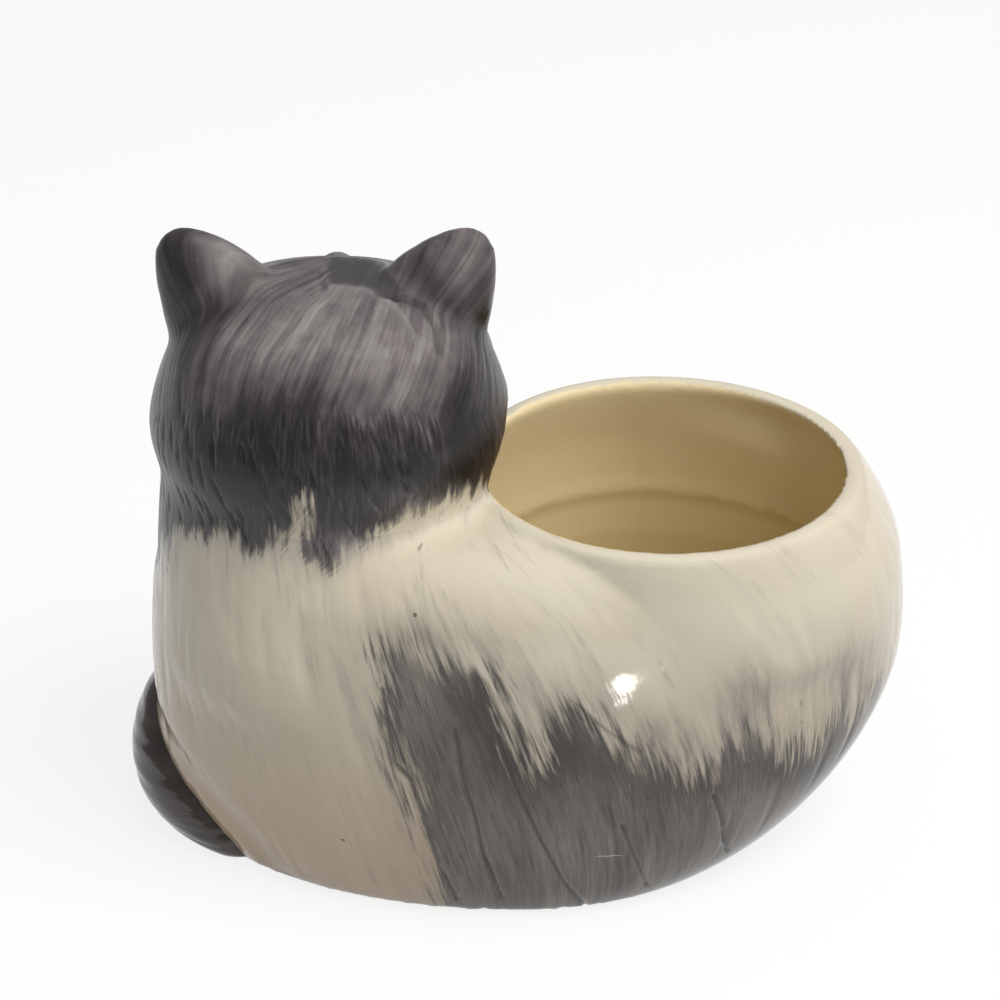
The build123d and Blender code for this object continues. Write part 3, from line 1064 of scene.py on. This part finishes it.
def brush_ground(finish, wide, fine):
    """Cream with faint grey strokes and painted shade towards the floor, the grey wash over the rump,
    and the patch itself.
    """
    cloud = finish.noise(finish.flow("trunk_fur"), 24, 36, 2, 0.5, 3)
    ground = finish.mix(finish.rise(cloud, 0.42, 0.66) * 0.6, CREAM, CREAM_PINK)
    # Painted shade: the cream turns darker and warmer towards the floor.
    ground = finish.mix((1 - finish.rise(finish.height(), 0, 84)) * 0.75, ground, LOW_SHADE_CREAM)
    dashes = finish.rise(wide * 0.5 + fine * 0.5, 0.55, 0.68)
    ground = finish.mix(dashes * 0.38, ground, CREAM_GREY)
    rump = finish.field("rump")
    hairs = finish.noise(finish.flow("trunk_fur"), 0.75, 12, 3, 0.6, 15)
    streak = finish.rise(fine * 0.5 + wide * 0.3 + hairs * 0.2, 0.34, 0.62)
    halo = finish.rise(rump + (wide - 0.5) * 34 + (fine - 0.5) * 26, -17, 5)
    ground = finish.mix(finish.field("wash") * (streak * 0.7 + 0.25) + halo * 0.42, ground, WASH_GREY)
    ragged = rump + (wide - 0.5) * 16 + (fine - 0.5) * 22 + (hairs - 0.5) * 18
    patch = finish.rise(ragged, -4, 5)
    near_edge = finish.rise(rump, -5, 2) * (1 - finish.rise(rump, 4, 14))
    tone = finish.field("rump_tone") + (fine - 0.5) * 0.8 + (wide - 0.5) * 0.5 + (hairs - 0.5) * 0.7
    tone = tone - near_edge * 0.1
    slits = finish.rise(hairs * 0.65 + fine * 0.35, 0.51, 0.59)
    slits = slits * finish.rise(rump, -6, 1) * (1 - finish.rise(rump, 8, 26))
    ground = finish.mix(patch, ground, finish.ramp(tone, RUMP_STOPS))
    return finish.mix(slits * 0.7, ground, GROOVE_DARK)


def brush_hair(finish):
    """The dark head coat's colour, a field of its own streaks, and how much of it covers."""
    combed, falling = finish.flow("head_fur"), finish.flow("falling_fur")
    lower = finish.field("lower")
    fine = finish.noise(combed, 1.3, 20, 3, 0.6, 1) * (1 - lower)
    fine = fine + finish.noise(falling, 1.3, 9, 3, 0.6, 4) * lower
    wide = finish.noise(combed, 5, 44, 2, 0.5, 5) * (1 - lower)
    wide = wide + finish.noise(falling, 4.5, 20, 2, 0.5, 8) * lower
    mottle = finish.noise(finish.place(), 6 * MM, 6 * MM, 3, 0.6)
    hairs = finish.noise(falling, 0.8, 6, 3, 0.6, 21)
    # The tone takes in painted light and shade as well as the paint's own unevenness.
    tone = finish.field("hair_tone") - 0.06 + (wide - 0.5) * 0.7 + (fine - 0.5) * 0.55
    tone = tone + (mottle - 0.5) * 0.35 + ((hairs - 0.5) * 1.0 - 0.03) * lower
    hair = finish.ramp(tone, HAIR_STOPS)
    dark_brow = finish.rise(finish.field("forehead") + (mottle - 0.5) * 5, -0.9, 0.9)
    hair = finish.mix(dark_brow * 0.85, hair, FOREHEAD_DARK)
    # Painted highlight: paler paint along the crown's ridge and the left ear's crest.
    hair = finish.mix(finish.field("shine") * 0.45, hair, HAIR_STOPS[3][1])
    down_wide = finish.noise(falling, 3.4, 22, 2, 0.5, 12)
    ragged = finish.field("coat") + (down_wide - 0.5) * 12 + (fine - 0.5) * 8 + (hairs - 0.5) * 6
    return hair, fine, finish.rise(ragged, -1.8, 2.6)


def brush_marks(finish, colour):
    """A few specks, a crease of glaze and one pale scratch, as the photographed piece has them."""
    for pixel, radii, turn, strength in SPECKS:
        colour = finish.mix(finish.mark(pixel, radii, turn) * strength, colour, GROOVE_DARK)
    return finish.mix(finish.mark(*SCRATCH) * 0.8, colour, CREAM)


def paint_body():
    finish = Finish("painted_body")
    wide, fine = trunk_streaks(finish)
    ground = brush_marks(finish, brush_ground(finish, wide, fine))
    hair, hair_fine, covered = brush_hair(finish)
    fringe = finish.rise(finish.field("coat") + (wide - 0.5) * 12 + (fine - 0.5) * 8, -7, 3)
    ground = finish.mix(fringe * 0.5, ground, FRINGE_GREY)
    colour = finish.mix(covered, ground, hair)
    cut = finish.field("cut")
    colour = finish.mix(cut * 0.9, colour, finish.mix(covered, GROOVE_DARK, LINE_DARK))
    height = finish.height()
    # Painted shade in the bowl: the tan darkens towards the bowl's floor, and in a band under the upper
    # ring.
    bowl = finish.mix(finish.rise(height, 14, 84), BOWL_SHADE, BOWL_TAN)
    ring_shade = finish.rise(height + (wide - 0.5) * 6, 68, 66) * finish.rise(height, 62, 66)
    bowl = finish.mix(ring_shade * 0.35, bowl, BOWL_SHADE)
    within = finish.rise(finish.field("inside") + (fine - 0.5) * 2.4, -0.3, 0.3)
    colour = finish.mix(within, colour, bowl)
    unglazed = finish.unglazed()
    colour = finish.mix(unglazed, colour, BARE_CLAY)
    roughness = BODY_GLOSS + covered * (HAIR_GLOSS - BODY_GLOSS) + unglazed * BARE_ROUGHNESS
    bump = finish.bump(hair_fine * covered + fine * (1 - covered) * 0.25, HAIR_BUMP)
    return finish.glaze(colour, roughness, bump)


def paint_head():
    finish = Finish("painted_head")
    wide, fine = trunk_streaks(finish)
    hair, hair_fine, covered = brush_hair(finish)
    colour = finish.mix(covered, finish.mix(wide, CREAM, CREAM_PINK), hair)
    white = finish.rise(finish.field("blaze") + (hair_fine - 0.5) * 7 + (wide - 0.5) * 6, -1, 1.6)
    colour = finish.mix(white, colour, finish.mix(fine, MUZZLE, CREAM_PINK))
    ear = finish.rise(finish.field("inner_ear") + (hair_fine - 0.5) * 4, -0.6, 2.2)
    colour = finish.mix(ear * 0.8, colour, EAR_PINK)
    colour = finish.mix(finish.rise(finish.field("nose"), -0.2, 0.3), colour, NOSE_PINK)
    # Dark cuts, with painted shade along the creases.
    colour = finish.mix(finish.field("cut") * 0.9, colour, LINE_DARK)
    colour = finish.mix(finish.field("face_line") * 0.85, colour, GROOVE_DARK)
    eye = finish.field("eye")
    lined = finish.rise(eye, -1.5, -0.7)
    colour = finish.mix(lined, colour, LINE_DARK)
    iris = finish.mix(finish.rise(eye, 0.2, 2.2), IRIS_RIM, IRIS)
    in_eye = finish.rise(eye, -0.15, 0.15)
    colour = finish.mix(in_eye, colour, iris)
    slit = finish.rise(finish.field("pupil"), -0.05, 0.05) * in_eye
    colour = finish.mix(slit, colour, LINE_DARK)
    within = finish.rise(finish.field("inside"), -0.3, 0.3)
    colour = finish.mix(within, colour, BOWL_TAN)
    roughness = HAIR_GLOSS - lined * (HAIR_GLOSS - EYE_GLOSS)
    bump = finish.bump(hair_fine * (1 - lined), HAIR_BUMP)
    return finish.glaze(colour, roughness, bump)


def paint_tail():
    finish = Finish("painted_tail")
    lock = finish.flow("lock")
    wide, fine = finish.noise(lock, 5, 46, 2, 0.5), finish.noise(lock, 1.3, 24, 3, 0.6, 5)
    tone = 0.40 + (wide - 0.5) * 0.45 + (fine - 0.5) * 0.3
    colour = finish.mix(finish.field("cut") * 0.25, finish.ramp(tone, TAIL_STOPS), LINE_DARK)
    unglazed = finish.unglazed()
    colour = finish.mix(unglazed, colour, BARE_CLAY)
    bump = finish.bump(fine, TAIL_BUMP)
    return finish.glaze(colour, TAIL_GLOSS + unglazed * BARE_ROUGHNESS, bump)


def paint_paw():
    finish = Finish("painted_paw")
    cloud = finish.noise(finish.place(), 5 * MM, 5 * MM, 3, 0.6)
    streak = finish.noise(finish.place(), 1.2 * MM, 9 * MM, 3, 0.6, 4)
    ground = finish.mix(cloud * 0.6, CREAM, CREAM_PINK)
    grey = finish.rise(finish.field("reach") + (streak - 0.5) * 22, 9, 17)
    ground = finish.mix(grey * 0.7, ground, WASH_GREY)
    colour = finish.mix(finish.field("cut") * 0.75, ground, GROOVE_DARK)
    return finish.glaze(colour, PAW_GLOSS, finish.bump(streak, PAW_BUMP))


painted_head, painted_paw = paint_head(), paint_paw()
finishes = {
    "body": ("cream_glaze", paint_body()),
    "head": ("dark_grey_glaze", painted_head),
    "left_ear": ("dark_grey_glaze", painted_head),
    "right_ear": ("dark_grey_glaze", painted_head),
    "tail": ("grey_glaze", paint_tail()),
}
for node in PAWS:
    finishes[node] = ("cream_glaze", painted_paw)

for node, (slot, material) in finishes.items():
    piece = pieces[node]
    piece.data.materials.clear()
    piece.data.materials.append(material)
    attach(piece, "root")
    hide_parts(node)


# Floor and light

FLOOR_SIZE = 4
FLOOR_GREY = (0.5, 0.5, 0.5)
FLOOR_GLOW = 0.70
GLOW_STRENGTH = 1.2
WORLD_LIGHT = 0.42
WORLD_SEEN = 1.0
KEY_PLACE = (-0.55, 0.35, 1.25)
KEY_AIM = (0, 0, 0.08)
KEY_SIZE = (0.9, 0.7)
KEY_WATTS = 18
KEY_TINT = (1, 0.97, 0.93)

# The bulb that the glaze mirrors: its distance, the sizes of globe and neck, and their light.
GLINT_DISTANCE = 0.045
BULB = (0.0075, 0.0085)
BULB_WATTS = 0.0045
BULB_NECK = (0.003, 0.007)
BULB_DROP = 0.007
NECK_WATTS = 0.001
BULB_TINT = (1, 0.98, 0.93)


def make_stage():
    bpy.ops.mesh.primitive_plane_add(size=FLOOR_SIZE, location=(0, 0, -0.1 * MM))
    floor = bpy.context.active_object
    floor.name = "floor"
    finish = Finish("white_floor")
    diffuse = finish.add("ShaderNodeBsdfDiffuse", {}, {"Color": FLOOR_GREY})
    glow = finish.add("ShaderNodeEmission", {}, {"Color": (1.0, 1.0, 1.0), "Strength": GLOW_STRENGTH})
    camera_ray = finish.add("ShaderNodeLightPath", output=0)
    glossy_ray = finish.add("ShaderNodeLightPath", output=3)
    through_ray = finish.add("ShaderNodeLightPath", output=6)
    rays = camera_ray + glossy_ray + through_ray
    seen = rays.math("MINIMUM", rays, 1.0)
    shader = finish.add("ShaderNodeMixShader", {}, {0: seen * FLOOR_GLOW, 1: diffuse, 2: glow})
    finish.add("ShaderNodeOutputMaterial", {}, {"Surface": shader})
    floor.data.materials.append(finish.material)

    world = bpy.data.worlds.new("studio")
    world.use_nodes = True
    scene.world = world
    tree = world.node_tree
    tree.nodes.clear()
    background = tree.nodes.new("ShaderNodeBackground")
    path = tree.nodes.new("ShaderNodeLightPath")
    mix = tree.nodes.new("ShaderNodeMix")
    mix.inputs[2].default_value = WORLD_LIGHT
    mix.inputs[3].default_value = WORLD_SEEN
    tree.links.new(path.outputs["Is Camera Ray"], mix.inputs[0])
    tree.links.new(mix.outputs[0], background.inputs["Strength"])
    output = tree.nodes.new("ShaderNodeOutputWorld")
    tree.links.new(background.outputs[0], output.inputs[0])


def area_light(name, location, aim, size, watts, tint):
    data = bpy.data.lights.new(name, "AREA")
    data.shape = "RECTANGLE"
    data.size, data.size_y = size
    data.energy = watts
    data.color = tint
    lamp = bpy.data.objects.new(name, data)
    scene.collection.objects.link(lamp)
    lamp.location = location
    lamp.rotation_euler = (Vector(location) - Vector(aim)).to_track_quat("Z", "Y").to_euler()
    return lamp


def glint_lamp():
    """A bare bulb where the glaze mirrors it to the camera at the glint."""
    middle, outward = surface_at(GLINT_PX)
    line = (middle - camera.location).normalized()
    mirrored = line - 2 * line.dot(outward) * outward
    location = middle + mirrored * GLINT_DISTANCE
    lamps = (("bulb", BULB, 0, BULB_WATTS), ("bulb_neck", BULB_NECK, BULB_DROP, NECK_WATTS))
    for name, size, drop, watts in lamps:
        lamp = area_light(name, location - Vector((0, 0, drop)), middle, size, watts, BULB_TINT)
        lamp.data.shape = "ELLIPSE"
        lamp.visible_diffuse = False
        lamp.visible_camera = False


make_stage()
key = area_light("key", KEY_PLACE, KEY_AIM, KEY_SIZE, KEY_WATTS, KEY_TINT)
key.visible_glossy = False
glint_lamp()
